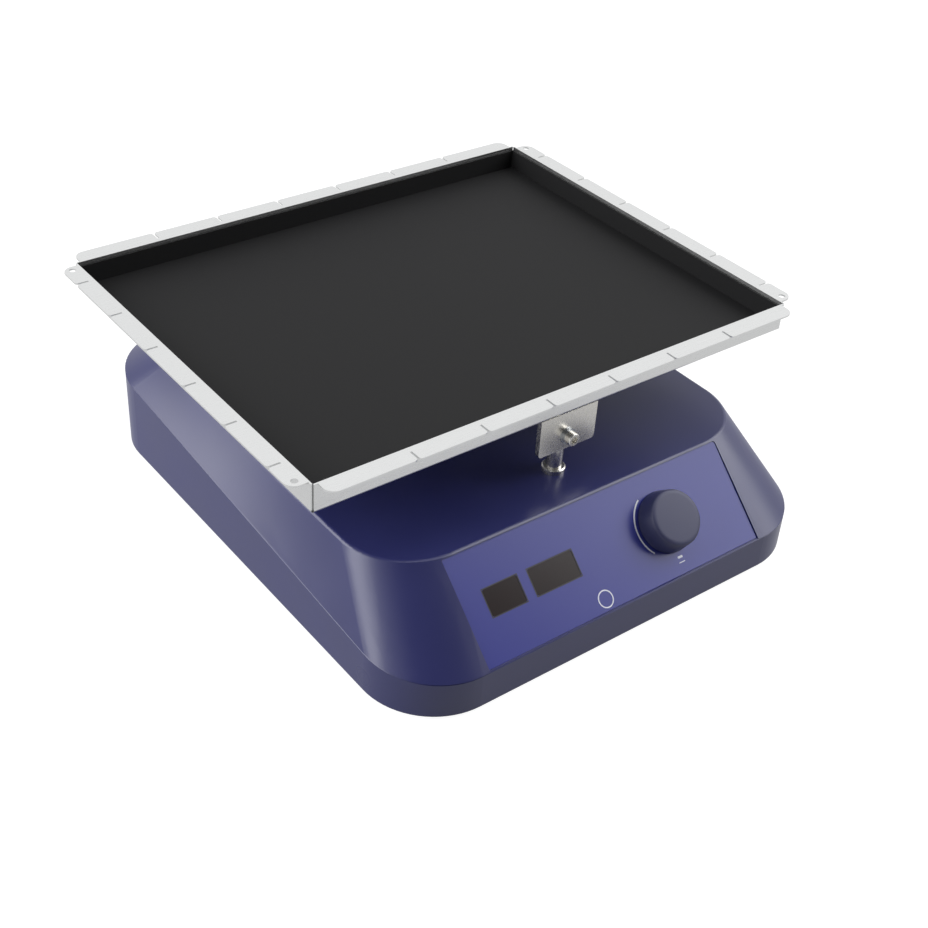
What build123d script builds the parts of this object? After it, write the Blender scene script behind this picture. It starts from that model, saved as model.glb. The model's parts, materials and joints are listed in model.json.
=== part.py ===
from build123d import *
import os
from math import asin, atan2, cos, degrees, hypot, pi, radians, sin

# Rocking bench shaker: a blue two-shell base with a sloped control panel carries a
# folded sheet tray that rocks about a front-to-back axis on two steel posts.
# Frame: +X to the right seen from the front, +Y to the back, +Z up, millimetres.
# The origin is on the table under the middle of the base.

os.makedirs("parts", exist_ok=True)

# Base shells
base_w = 370.0
base_d = 425.0
base_r = 55.0
wall = 3.0
floor_t = 3.0
foot_proud = 2.0
skirt_front_h = 28.3
skirt_rear_h = 67.5
housing_h = 83.2
side_lean = 18.0
front_lean = 58.5
rear_lean = 18.0
top_r = 52.0
ridge_r = 3.0
front_wall = 8.0
parting_chamfer = 0.8
bottom_round = 1.5

skirt_z = foot_proud
floor_top = skirt_z + floor_t
front_y = -base_d / 2
rear_y = base_d / 2
skirt_front_z = skirt_z + skirt_front_h
skirt_rear_z = skirt_z + skirt_rear_h
skirt_pitch = degrees(atan2(skirt_rear_h - skirt_front_h, base_d))
top_z = skirt_z + housing_h
top_w = base_w - 2 * side_lean
top_front_y = front_y + front_lean
top_rear_y = rear_y - rear_lean
top_d = top_rear_y - top_front_y
top_mid_y = (top_front_y + top_rear_y) / 2

# Control panel, let into the front slope
slope_angle = degrees(atan2(top_z - skirt_front_z, front_lean))
slope_len = hypot(top_z - skirt_front_z, front_lean)
panel_w = 248.0
panel_high = 78.4
panel_skirt = 6.0
panel_t = 1.6
panel_sink = 1.0
panel_gap = 0.15
panel_r = 2.0
window_low = 31.0
window_h = 19.0
window_r = 1.5
small_window_x = -91.0
small_window_w = 28.8
large_window_x = -48.4
large_window_w = 38.4
lens_t = 1.4
lens_gap = 0.1
lens_ledge = 1.5

# Knob and its push encoder
knob_x = 52.5
knob_v = 40.0
knob_d = 40.5
knob_rise = 14.0
knob_float = 1.2
knob_bore_d = 6.1
knob_chamfer = 1.2
knob_cavity_d = 33.0
knob_roof = 3.0
shaft_d = 6.0
shaft_clear = 0.05
bush_d = 9.0
encoder_side = 14.0
encoder_h = 8.0

# Control board behind the panel
board_depth = 16.0
board_t = 1.6
board_left = -112.0
board_right = 88.0
board_low = 14.0
board_high = 64.0
board_boss_d = 7.0

# Rocking axis and posts
pivot_z = 120.0
tray_mid_y = 31.0
post_reach = 150.0
post_d = 12.0
post_top = 8.0
collar_d = 17.0
collar_h = 4.0
bush_od = 8.0
pivot_d = 6.0
run_clear = 0.05
screw_head_d = 10.0
screw_head_h = 6.0
washer_d = 12.5
washer_t = 1.2

# Tray, its flanges and its liner
tray_l = 410.0
tray_w = 320.0
sheet = 1.2
tray_h = 22.0
tray_lift = 19.6
fold_r = 2.2
flange_w = 13.0
flange_end = 3.0
flange_corner_r = 8.0
slot_w = 1.6
slot_depth = 9.5
slot_count = 6
slot_pitch_x = 54.6
slot_pitch_y = 52.5
tab_r = 2.5
tray_hole_d = 5.0
tray_hole_x = 212.5
tray_hole_y = 151.5
corner_slit = 1.5
liner_t = 2.5
liner_wall = 1.5
liner_gap = 0.2
liner_drop = 1.6

tray_z = pivot_z + tray_lift
rim_z = tray_z + tray_h

# Pivot brackets under the tray
bracket_w = 50.0
bracket_t = 4.0
bracket_drop = 30.0
bracket_foot = 28.0
bracket_r = 3.0

# Crank drive: a roller on an eccentric pin works in a fork that hangs from the tray
rock_deg = 7.0
crank_z = 60.0
arm_len = pivot_z - crank_z
crank_throw = arm_len * sin(radians(rock_deg))
roller_d = 19.0
roller_w = 6.0
fork_play = 0.55
fork_t = 5.0
prong_w = 6.0
crank_disc_d = 34.0
crank_disc_t = 8.0
crank_pin_d = 6.0

for_board = Plane(
    origin=(0, front_y, skirt_front_z),
    x_dir=(1, 0, 0),
    z_dir=(0, -sin(radians(slope_angle)), cos(radians(slope_angle))),
)


def slope_plane(rise):
    """Plane of the front slope moved outwards along its normal by rise."""
    return for_board.offset(rise)


def skirt_plane():
    """The inclined parting plane between the lower and the upper shell."""
    return Plane(origin=(0, front_y, skirt_front_z)).rotated((skirt_pitch, 0, 0))


def save(part, name):
    """Label a piece and write it as one STEP file."""
    part.label = name
    export_step(part, f"parts/{name}.step")


# Shared places
boss_spots = [(-148, 150), (148, 150), (-148, -80), (148, -80)]
foot_spots = [(-148, 172), (148, 172), (-148, -172), (148, -172)]
pad_spots = [(-38, -85), (38, -85), (-38, 145), (38, 145)]
supply_x = -108.0
supply_y = 70.0
supply_l = 110.0
supply_w = 64.0
supply_spots = [
    (supply_x + i * (supply_w / 2 - 5), supply_y + j * (supply_l / 2 - 5))
    for i in (-1, 1)
    for j in (-1, 1)
]
post_ys = [tray_mid_y - post_reach, tray_mid_y + post_reach]
boss_d = 10.0
boss_top = 26.0
screw_d = 4.0
screw_clear_d = 4.4
screw_sink_d = 8.2
foot_d = 24.0
foot_sink = 1.5
pad_h = 3.0
supply_stand = 6.0
inlet_x = -95.0
inlet_z = 36.0
inlet_w = 27.6
inlet_h = 19.8
switch_x = -45.0
switch_w = 13.0
switch_h = 19.4
panel_cut_gap = 0.2

# Lower shell: tub whose rim climbs in a straight line from front to back
parting = skirt_plane()
with BuildPart() as lower_shell:
    with BuildSketch(Plane.XY.offset(skirt_z)):
        RectangleRounded(base_w, base_d, base_r)
    extrude(amount=skirt_rear_h + 10)
    split(bisect_by=parting, keep=Keep.BOTTOM)
    chamfer(
        lower_shell.faces().sort_by(Axis.Z)[-1].edges(),
        length=parting_chamfer,
    )
    fillet(lower_shell.faces().sort_by(Axis.Z)[0].edges(), radius=bottom_round)
    with BuildSketch(Plane.XY.offset(floor_top)):
        RectangleRounded(base_w - 2 * wall, base_d - 2 * wall, base_r - wall)
    extrude(amount=skirt_rear_h + 10, mode=Mode.SUBTRACT)
    # Bosses for the shell screws, pads for the feet, the cradle and the supply board
    with BuildSketch(Plane.XY.offset(floor_top)):
        with Locations(*boss_spots):
            Circle(boss_d / 2)
    extrude(amount=boss_top - floor_top)
    with BuildSketch(Plane.XY.offset(floor_top)):
        with Locations(*foot_spots):
            Circle(foot_d / 2 + 2)
        with Locations(*pad_spots):
            Circle(8)
    extrude(amount=pad_h)
    with BuildSketch(Plane.XY.offset(floor_top)):
        with Locations(*supply_spots):
            Circle(3.5)
    extrude(amount=supply_stand)
    # Screw holes from below, and shallow seats for the feet
    with BuildSketch(Plane.XY.offset(skirt_z)):
        with Locations(*foot_spots):
            Circle(foot_d / 2 + 0.2)
    extrude(amount=foot_sink, mode=Mode.SUBTRACT)
    with BuildSketch(Plane.XY.offset(skirt_z)):
        with Locations(*boss_spots):
            Circle(screw_sink_d / 2)
    extrude(amount=8, mode=Mode.SUBTRACT)
    with BuildSketch(Plane.XY.offset(skirt_z)):
        with Locations(*boss_spots):
            Circle(screw_clear_d / 2)
        with Locations(*foot_spots, *pad_spots):
            Circle(screw_d / 2)
    extrude(amount=boss_top, mode=Mode.SUBTRACT)
    # Air slots in the floor under the motor and the supply board
    with BuildSketch(Plane.XY.offset(skirt_z)):
        with GridLocations(9, 200, 9, 1):
            SlotCenterToCenter(26, 3, rotation=90)
        with Locations((supply_x, supply_y)):
            with GridLocations(9, 100, 5, 1):
                SlotCenterToCenter(26, 3, rotation=90)
    extrude(amount=floor_t, mode=Mode.SUBTRACT)
    # Cut-outs for the power inlet and the mains switch in the back wall
    with BuildSketch(Plane.XZ.offset(-rear_y - 1)):
        with Locations((inlet_x, inlet_z)):
            Rectangle(inlet_w + 2 * panel_cut_gap, inlet_h + 2 * panel_cut_gap)
        with Locations((switch_x, inlet_z)):
            Rectangle(switch_w + 2 * panel_cut_gap, switch_h + 2 * panel_cut_gap)
    extrude(amount=wall + 2, mode=Mode.SUBTRACT)
save(lower_shell.part, "lower_shell")

# Upper shell: ruled between the climbing rim and the flat top
with BuildPart(mode=Mode.PRIVATE) as rim_block:
    with BuildSketch(Plane.XY.offset(skirt_z)):
        RectangleRounded(base_w, base_d, base_r)
    extrude(amount=skirt_rear_h + 10)
    split(bisect_by=parting, keep=Keep.BOTTOM)
outer_rim = rim_block.faces().sort_by(Axis.Z)[-1]
with BuildPart(mode=Mode.PRIVATE) as cavity_block:
    with BuildSketch(Plane.XY.offset(skirt_z)):
        with Locations((0, (front_wall - wall) / 2)):
            RectangleRounded(
                base_w - 2 * wall,
                base_d - front_wall - wall,
                base_r - wall,
            )
    extrude(amount=skirt_rear_h + 10)
    split(bisect_by=parting, keep=Keep.BOTTOM)
inner_rim = cavity_block.faces().sort_by(Axis.Z)[-1]

with BuildSketch(Plane.XY.offset(top_z)) as top_outline:
    with Locations((0, top_mid_y)):
        RectangleRounded(top_w, top_d, top_r)
with BuildSketch(Plane.XY.offset(top_z - wall)) as cavity_top:
    with Locations((0, top_mid_y + (front_wall - 2 * wall) / 2)):
        RectangleRounded(top_w - 2 * wall, top_d - front_wall, top_r - wall)
with BuildPart(mode=Mode.PRIVATE) as cavity:
    loft(sections=[inner_rim, cavity_top.sketch.face()], ruled=True)

post_hole_d = post_d + 1.0
cover_slot_w = 46.0
cover_slot_d = 10.0
window_mid = window_low + window_h / 2
panel_h = panel_high + panel_skirt
panel_mid = (panel_high - panel_skirt) / 2
windows = [(small_window_x, small_window_w), (large_window_x, large_window_w)]
board_mid_x = (board_left + board_right) / 2
board_mid_v = (board_low + board_high) / 2
board_spots = [
    (board_mid_x + i * ((board_right - board_left) / 2 - 6), board_mid_v + j * 19)
    for i in (-1, 1)
    for j in (-1, 1)
]
board_screw_d = 3.0

with BuildPart() as upper_shell:
    loft(sections=[outer_rim, top_outline.sketch.face()], ruled=True)
    fillet(upper_shell.faces().sort_by(Axis.Z)[-1].edges(), radius=ridge_r)
    add(cavity.part, mode=Mode.SUBTRACT)
    # Screw towers that stand on the bosses of the lower shell
    with BuildSketch(Plane.XY.offset(boss_top)):
        with Locations(*boss_spots):
            Circle(boss_d / 2)
    extrude(amount=top_z - wall - boss_top)
    with BuildSketch(Plane.XY.offset(boss_top)):
        with Locations(*boss_spots):
            Circle(screw_d / 2)
    extrude(amount=25, mode=Mode.SUBTRACT)
    # Stand-offs for the control board behind the front slope
    with BuildSketch(slope_plane(-board_depth)):
        with Locations(*board_spots):
            Circle(board_boss_d / 2)
    extrude(amount=board_depth - panel_sink - panel_t - 1)
    with BuildSketch(slope_plane(-board_depth)):
        with Locations(*board_spots):
            Circle(board_screw_d / 2)
    extrude(amount=8, mode=Mode.SUBTRACT)
    # Seat of the panel, openings behind the windows, hole for the knob's bush
    with BuildSketch(slope_plane(0)):
        with Locations((0, panel_mid)):
            RectangleRounded(
                panel_w + 2 * panel_gap,
                panel_h + 2 * panel_gap,
                panel_r + panel_gap,
            )
    extrude(amount=-(panel_sink + panel_t), mode=Mode.SUBTRACT)
    with BuildSketch(slope_plane(0)):
        for x, w in windows:
            with Locations((x, window_mid)):
                Rectangle(w - 2 * lens_ledge, window_h - 2 * lens_ledge)
        with Locations((knob_x, knob_v)):
            Circle(bush_d / 2 + 0.3)
    extrude(amount=-12, mode=Mode.SUBTRACT)
    # Holes in the top for the two posts and the slot for the drive fork
    with BuildSketch(Plane.XY.offset(top_z)):
        with Locations(*[(0, y) for y in post_ys]):
            Circle(post_hole_d / 2)
        with Locations((0, tray_mid_y)):
            RectangleRounded(cover_slot_w, cover_slot_d, 4)
    extrude(amount=-wall, mode=Mode.SUBTRACT)
save(upper_shell.part, "upper_shell")

# Panel plate, recessed a little below the slope
with BuildPart() as panel:
    with BuildSketch(slope_plane(-panel_sink - panel_t)):
        with Locations((0, panel_mid)):
            RectangleRounded(panel_w, panel_h, panel_r)
        for x, w in windows:
            with Locations((x, window_mid)):
                RectangleRounded(
                    w + 2 * lens_gap,
                    window_h + 2 * lens_gap,
                    window_r + lens_gap,
                    mode=Mode.SUBTRACT,
                )
        with Locations((knob_x, knob_v)):
            Circle(bush_d / 2 + 0.3, mode=Mode.SUBTRACT)
    extrude(amount=panel_t)
    split(bisect_by=parting.offset(panel_gap), keep=Keep.TOP)
save(panel.part, "panel")

# Tinted display windows, one piece each, and the display blocks behind them
lens_base = slope_plane(-panel_sink - panel_t)
for (x, w), name in zip(windows, ("small_window", "large_window")):
    with BuildPart() as lens:
        with BuildSketch(lens_base):
            with Locations((x, window_mid)):
                RectangleRounded(w, window_h, window_r)
        extrude(amount=lens_t)
    save(lens.part, name)

display_gap = 0.5
display_depth = board_depth - panel_sink - panel_t - display_gap
with BuildPart() as displays:
    with BuildSketch(slope_plane(-board_depth)):
        for x, w in windows:
            with Locations((x, window_mid)):
                Rectangle(w - 2 * lens_ledge - 1, window_h - 2 * lens_ledge - 1)
    extrude(amount=display_depth)
save(displays.part, "display_blocks")

# Control board with its four screws
with BuildPart() as board:
    with BuildSketch(slope_plane(-board_depth - board_t)):
        with Locations((board_mid_x, board_mid_v)):
            RectangleRounded(board_right - board_left, board_high - board_low, 2)
        with Locations(*board_spots):
            Circle(board_screw_d / 2 + 0.1, mode=Mode.SUBTRACT)
    extrude(amount=board_t)
save(board.part, "control_board")

with BuildPart() as board_screws:
    with BuildSketch(slope_plane(-board_depth - board_t)):
        with Locations(*board_spots):
            Circle(2.8)
    extrude(amount=-2)
    with BuildSketch(slope_plane(-board_depth - board_t)):
        with Locations(*board_spots):
            Circle(board_screw_d / 2 - 0.05)
    extrude(amount=board_t + 7)
save(board_screws.part, "board_screws")

# Push encoder: housing with a round well, a rotor in it, and the shaft through both
rotor_d = 10.0
rotor_t = 4.0
encoder_floor = 1.5
knob_stroke = 0.8
bush_top = -panel_sink + 0.4
with BuildPart() as encoder:
    with BuildSketch(slope_plane(-board_depth)):
        with Locations((knob_x, knob_v)):
            RectangleRounded(encoder_side, encoder_side, 1)
    extrude(amount=encoder_h)
    with BuildSketch(slope_plane(-board_depth + encoder_h)):
        with Locations((knob_x, knob_v)):
            Circle(bush_d / 2)
    extrude(amount=bush_top + board_depth - encoder_h)
    with BuildSketch(slope_plane(-board_depth + encoder_floor)):
        with Locations((knob_x, knob_v)):
            Circle(rotor_d / 2 + 0.1)
    extrude(amount=rotor_t + 0.2, mode=Mode.SUBTRACT)
    with BuildSketch(slope_plane(-board_depth + encoder_floor)):
        with Locations((knob_x, knob_v)):
            Circle(shaft_d / 2 + shaft_clear)
    extrude(amount=30, mode=Mode.SUBTRACT)
save(encoder.part, "encoder_body")

with BuildPart() as rotor:
    with BuildSketch(slope_plane(-board_depth + encoder_floor + 0.1)):
        with Locations((knob_x, knob_v)):
            Circle(rotor_d / 2)
            Circle(shaft_d / 2 + shaft_clear, mode=Mode.SUBTRACT)
    extrude(amount=rotor_t)
save(rotor.part, "encoder_rotor")

knob_under = -panel_sink + knob_float
shaft_low = -board_depth + encoder_floor + knob_stroke + 0.3
with BuildPart() as shaft:
    with BuildSketch(slope_plane(shaft_low)):
        with Locations((knob_x, knob_v)):
            Circle(shaft_d / 2)
    extrude(amount=knob_rise - knob_roof - shaft_low)
save(shaft.part, "knob_shaft")

# Knob: turned cap with a slight taper, broken edge and a hub that grips the shaft
slope_dir = Vector(0, -sin(radians(slope_angle)), cos(radians(slope_angle)))
knob_foot = slope_plane(0).from_local_coords(Vector(knob_x, knob_v, 0))
knob_axis = Axis(knob_foot, slope_dir)
knob_section = Plane(
    origin=knob_foot,
    x_dir=(1, 0, 0),
    z_dir=(0, -cos(radians(slope_angle)), -sin(radians(slope_angle))),
)
knob_taper = 0.35
hub_r = bush_d / 2 + 2.5
with BuildPart() as knob:
    with BuildSketch(knob_section):
        with BuildLine():
            Polyline(
                (shaft_d / 2, bush_top + 0.9),
                (hub_r, bush_top + 0.9),
                (hub_r, knob_rise - knob_roof),
                (knob_cavity_d / 2, knob_rise - knob_roof),
                (knob_cavity_d / 2, knob_under),
                (knob_d / 2, knob_under),
                (knob_d / 2 - knob_taper, knob_rise - knob_chamfer),
                (knob_d / 2 - knob_taper - knob_chamfer, knob_rise),
                (0, knob_rise),
                (0, knob_rise - knob_roof),
                (shaft_d / 2, knob_rise - knob_roof),
                close=True,
            )
        make_face()
    revolve(axis=knob_axis)
save(knob.part, "knob")

# Cradle: folded steel channel on the floor whose end tabs carry the two posts
cradle_t = 3.0
cradle_w = 100.0
cradle_z = floor_top + pad_h
upright_w = 50.0
tab_z = 76.0
tab_reach = 24.0
front_upright_y = post_ys[0] + 11
rear_upright_y = post_ys[1] - 11
bolt_d = 8.0
nut_af = 13.0
nut_h = 6.5
with BuildPart() as cradle:
    with BuildSketch(Plane.XY.offset(cradle_z)):
        with Locations((0, (front_upright_y + rear_upright_y) / 2)):
            Rectangle(cradle_w, rear_upright_y - front_upright_y + 2 * cradle_t)
        with Locations(*pad_spots):
            Circle(screw_clear_d / 2, mode=Mode.SUBTRACT)
    extrude(amount=cradle_t)
    for y, side in ((front_upright_y, -1), (rear_upright_y, 1)):
        with BuildSketch(Plane.XY.offset(cradle_z)):
            with Locations((0, y + side * cradle_t / 2)):
                Rectangle(upright_w, cradle_t)
        extrude(amount=tab_z + cradle_t - cradle_z)
        with BuildSketch(Plane.XY.offset(tab_z)):
            with Locations((0, y + side * tab_reach / 2)):
                Rectangle(upright_w, tab_reach)
            with Locations((0, y + side * 11)):
                Circle(bolt_d / 2 + 0.05, mode=Mode.SUBTRACT)
        extrude(amount=cradle_t)
    # Folded side flanges stiffen the long floor
    for side in (-1, 1):
        with BuildSketch(Plane.XY.offset(cradle_z)):
            with Locations((side * (cradle_w / 2 - cradle_t / 2), tray_mid_y)):
                Rectangle(cradle_t, rear_upright_y - front_upright_y)
        extrude(amount=14)
save(cradle.part, "cradle")

with BuildPart() as cradle_screws:
    with BuildSketch(Plane.XY.offset(cradle_z + cradle_t)):
        with Locations(*pad_spots):
            Circle(3.6)
    extrude(amount=2.6)
    with BuildSketch(Plane.XY.offset(skirt_z + 1)):
        with Locations(*pad_spots):
            Circle(screw_d / 2 - 0.05)
    extrude(amount=cradle_z + cradle_t - skirt_z - 1)
save(cradle_screws.part, "cradle_screws")

# Posts: turned pins with a threaded foot, a cross hole and a rounded head
post_shoulder = tab_z + cradle_t
for y, name in zip(post_ys, ("front_post", "rear_post")):
    with BuildPart() as post:
        with BuildSketch(Plane.XY.offset(post_shoulder)):
            with Locations((0, y)):
                Circle(post_d / 2)
        extrude(amount=pivot_z + post_top - post_shoulder)
        chamfer(post.faces().sort_by(Axis.Z)[-1].edges(), length=1)
        with BuildSketch(Plane.XY.offset(post_shoulder)):
            with Locations((0, y)):
                Circle(bolt_d / 2)
        extrude(amount=-(cradle_t + nut_h + 2))
        with BuildSketch(Plane.XZ.offset(-y)):
            with Locations((0, pivot_z)):
                Circle(bush_od / 2)
        extrude(amount=post_d, both=True, mode=Mode.SUBTRACT)
    save(post.part, name)

with BuildPart() as post_nuts:
    with BuildSketch(Plane.XY.offset(tab_z)):
        with Locations(*[(0, y) for y in post_ys]):
            RegularPolygon(nut_af / 2, 6, major_radius=False)
            Circle(bolt_d / 2 + 0.02, mode=Mode.SUBTRACT)
    extrude(amount=-nut_h)
save(post_nuts.part, "post_nuts")

with BuildPart() as collars:
    with BuildSketch(Plane.XY.offset(top_z)):
        with Locations(*[(0, y) for y in post_ys]):
            Circle(collar_d / 2)
    extrude(amount=collar_h)
    chamfer(collars.faces().group_by(Axis.Z)[-1].edges(), length=0.8)
    with BuildSketch(Plane.XY.offset(top_z)):
        with Locations(*[(0, y) for y in post_ys]):
            Circle(post_d / 2 + 0.05)
    extrude(amount=collar_h, mode=Mode.SUBTRACT)
save(collars.part, "post_collars")

with BuildPart() as bushes:
    for y in post_ys:
        with BuildSketch(Plane.XZ.offset(-y)):
            with Locations((0, pivot_z)):
                Circle(bush_od / 2)
                Circle(pivot_d / 2 + run_clear, mode=Mode.SUBTRACT)
        extrude(amount=post_d / 2 + 0.1, both=True)
save(bushes.part, "pivot_bushes")

# Tray: one folded sheet with open corners and slotted flanges
half_l = tray_l / 2
half_w = tray_w / 2
with BuildPart() as tray:
    with BuildSketch(Plane.XY.offset(tray_z)):
        with Locations((0, tray_mid_y)):
            Rectangle(tray_l + 2 * sheet, tray_w + 2 * sheet)
    extrude(amount=tray_h)
    fillet(tray.faces().sort_by(Axis.Z)[0].edges(), radius=fold_r)
    with BuildSketch(Plane.XY.offset(tray_z + sheet)):
        with Locations((0, tray_mid_y)):
            Rectangle(tray_l, tray_w)
    extrude(amount=tray_h, mode=Mode.SUBTRACT)
    with BuildSketch(Plane.XY.offset(tray_z + sheet)):
        for i in (-1, 1):
            for j in (-1, 1):
                with Locations((i * (half_l + sheet), tray_mid_y + j * (half_w + sheet))):
                    Rectangle(2 * corner_slit, 2 * corner_slit)
    extrude(amount=tray_h, mode=Mode.SUBTRACT)
    for length, reach, pitch, turn in (
        (tray_l, half_w, slot_pitch_x, 0),
        (tray_w, half_l, slot_pitch_y, 90),
    ):
        flange_y = -reach - (flange_w + sheet) / 2
        slot_y = -reach - sheet - flange_w + slot_depth / 2
        for flip in (0, 180):
            place = Location((0, tray_mid_y, rim_z - sheet), (0, 0, turn + flip))
            with BuildSketch(Plane(place)) as flange:
                with Locations((0, flange_y)):
                    Rectangle(length - 2 * flange_end, flange_w + sheet)
                with Locations((0, slot_y)):
                    with GridLocations(pitch, 1, slot_count, 1):
                        Rectangle(slot_w, slot_depth, mode=Mode.SUBTRACT)
                outer = flange.vertices().group_by(Axis.Y)[0].sort_by(Axis.X)
                fillet([outer[0], outer[-1]], radius=flange_corner_r)
                tabs = flange.vertices().group_by(Axis.Y)[0].sort_by(Axis.X)[1:-1]
                fillet(tabs, radius=tab_r)
            extrude(amount=sheet)
    with BuildSketch(Plane.XY.offset(rim_z)):
        with Locations((0, tray_mid_y)):
            with GridLocations(2 * tray_hole_x, 2 * tray_hole_y, 2, 2):
                Circle(tray_hole_d / 2)
    extrude(amount=-sheet, mode=Mode.SUBTRACT)
save(tray.part, "tray")

liner_z = tray_z + sheet
liner_l = tray_l - 2 * liner_gap
liner_w = tray_w - 2 * liner_gap
liner_top = rim_z - sheet - liner_drop
with BuildPart() as liner:
    with BuildSketch(Plane.XY.offset(liner_z)):
        with Locations((0, tray_mid_y)):
            RectangleRounded(liner_l, liner_w, 2)
    extrude(amount=liner_top - liner_z)
    with BuildSketch(Plane.XY.offset(liner_z + liner_t)):
        with Locations((0, tray_mid_y)):
            RectangleRounded(liner_l - 2 * liner_wall, liner_w - 2 * liner_wall, 1)
    extrude(amount=liner_top, mode=Mode.SUBTRACT)
save(liner.part, "tray_liner")

# Pivot brackets: bent strip, the foot bolted under the tray, the leg over the post
bracket_face = half_w + 0.6
stud_x = 16.0
stud_d = 4.0
stud_reach = bracket_face - 18.0
stud_len = 12.0
bracket_low = tray_z - bracket_drop
for side, name in ((-1, "front_bracket"), (1, "rear_bracket")):
    face_y = tray_mid_y + side * bracket_face
    with BuildPart() as bracket:
        with BuildSketch(Plane.YZ):
            with BuildLine():
                Polyline(
                    (face_y, bracket_low),
                    (face_y, tray_z),
                    (face_y - side * bracket_foot, tray_z),
                    (face_y - side * bracket_foot, tray_z - bracket_t),
                    (face_y - side * bracket_t, tray_z - bracket_t),
                    (face_y - side * bracket_t, bracket_low),
                    close=True,
                )
            make_face()
        extrude(amount=bracket_w / 2, both=True)
        legs = bracket.edges().filter_by(Axis.Y).group_by(Axis.Z)[0]
        fillet(legs, radius=bracket_r)
        with BuildSketch(Plane.XZ.offset(-tray_mid_y)):
            with Locations((0, pivot_z)):
                Circle(pivot_d / 2 + 0.02)
        extrude(amount=-side * (bracket_face + 1), mode=Mode.SUBTRACT)
        with BuildSketch(Plane.XY.offset(tray_z)):
            with Locations(*[(x, tray_mid_y + side * stud_reach) for x in (-stud_x, stud_x)]):
                Circle(stud_d / 2 + 0.2)
        extrude(amount=-bracket_t, mode=Mode.SUBTRACT)
    save(bracket.part, name)

# Pivot screws with washers outside and nuts inside: they turn in the post bushes
nut_gap = 0.6
pivot_nut_af = 10.0
pivot_nut_h = 4.0
socket_af = 5.0
socket_depth = 3.5
screw_tip = post_reach - post_d / 2 - nut_gap - pivot_nut_h - 1
head_seat = bracket_face + washer_t
with BuildPart() as pivot_screws:
    for side in (-1, 1):
        with BuildSketch(Plane.XZ.offset(-(tray_mid_y + side * head_seat))):
            with Locations((0, pivot_z)):
                Circle(screw_head_d / 2)
        extrude(amount=-side * screw_head_h)
        with BuildSketch(Plane.XZ.offset(-(tray_mid_y + side * head_seat))):
            with Locations((0, pivot_z)):
                Circle(pivot_d / 2)
        extrude(amount=side * (head_seat - screw_tip))
        with BuildSketch(
            Plane.XZ.offset(-(tray_mid_y + side * (head_seat + screw_head_h)))
        ):
            with Locations((0, pivot_z)):
                RegularPolygon(socket_af / 2, 6, major_radius=False)
        extrude(amount=side * socket_depth, mode=Mode.SUBTRACT)
    rims = [
        e
        for e in pivot_screws.edges().filter_by(GeomType.CIRCLE)
        if abs(e.radius - screw_head_d / 2) < 0.01
        and abs(abs(e.center().Y - tray_mid_y) - head_seat - screw_head_h) < 0.01
    ]
    fillet(rims, radius=0.8)
save(pivot_screws.part, "pivot_screws")

with BuildPart() as pivot_washers:
    for side in (-1, 1):
        with BuildSketch(Plane.XZ.offset(-(tray_mid_y + side * bracket_face))):
            with Locations((0, pivot_z)):
                Circle(washer_d / 2)
                Circle(pivot_d / 2 + 0.1, mode=Mode.SUBTRACT)
        extrude(amount=-side * washer_t)
save(pivot_washers.part, "pivot_washers")

nut_face = post_reach - post_d / 2 - nut_gap
with BuildPart() as pivot_nuts:
    for side in (-1, 1):
        with BuildSketch(Plane.XZ.offset(-(tray_mid_y + side * nut_face))):
            with Locations((0, pivot_z)):
                RegularPolygon(pivot_nut_af / 2, 6, major_radius=False)
                Circle(pivot_d / 2 + 0.02, mode=Mode.SUBTRACT)
        extrude(amount=side * pivot_nut_h)
save(pivot_nuts.part, "pivot_nuts")

# Drive fork: flanged plate under the tray that reaches down through the top
fork_foot_w = 50.0
fork_foot_d = 44.0
fork_foot_t = 3.0
fork_slot_w = roller_d + 2 * fork_play
fork_w = fork_slot_w + 2 * prong_w
fork_slot_top = arm_len - crank_throw - roller_d / 2 - 3
fork_low = arm_len + crank_throw + roller_d / 2
fork_studs = [(x, tray_mid_y + y) for x in (-stud_x, stud_x) for y in (-14, 14)]
with BuildPart() as fork:
    with BuildSketch(Plane.XZ.offset(-tray_mid_y)):
        with BuildLine():
            Polyline(
                (-fork_w / 2, tray_z - fork_foot_t),
                (-fork_w / 2, pivot_z - fork_low),
                (-fork_slot_w / 2, pivot_z - fork_low),
                (-fork_slot_w / 2, pivot_z - fork_slot_top),
                (fork_slot_w / 2, pivot_z - fork_slot_top),
                (fork_slot_w / 2, pivot_z - fork_low),
                (fork_w / 2, pivot_z - fork_low),
                (fork_w / 2, tray_z - fork_foot_t),
                close=True,
            )
        make_face()
    extrude(amount=fork_t / 2, both=True)
    with BuildSketch(Plane.XY.offset(tray_z - fork_foot_t)):
        with Locations((0, tray_mid_y)):
            RectangleRounded(fork_foot_w, fork_foot_d, 4)
        with Locations(*fork_studs):
            Circle(stud_d / 2 + 0.2, mode=Mode.SUBTRACT)
    extrude(amount=fork_foot_t)
save(fork.part, "drive_fork")

# Weld studs under the tray floor and the nuts that hold brackets and fork
bracket_studs = [
    (x, tray_mid_y + side * stud_reach) for x in (-stud_x, stud_x) for side in (-1, 1)
]
with BuildPart() as studs:
    with BuildSketch(Plane.XY.offset(tray_z)):
        with Locations(*bracket_studs, *fork_studs):
            Circle(stud_d / 2)
    extrude(amount=-9)
save(studs.part, "tray_studs")

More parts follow.
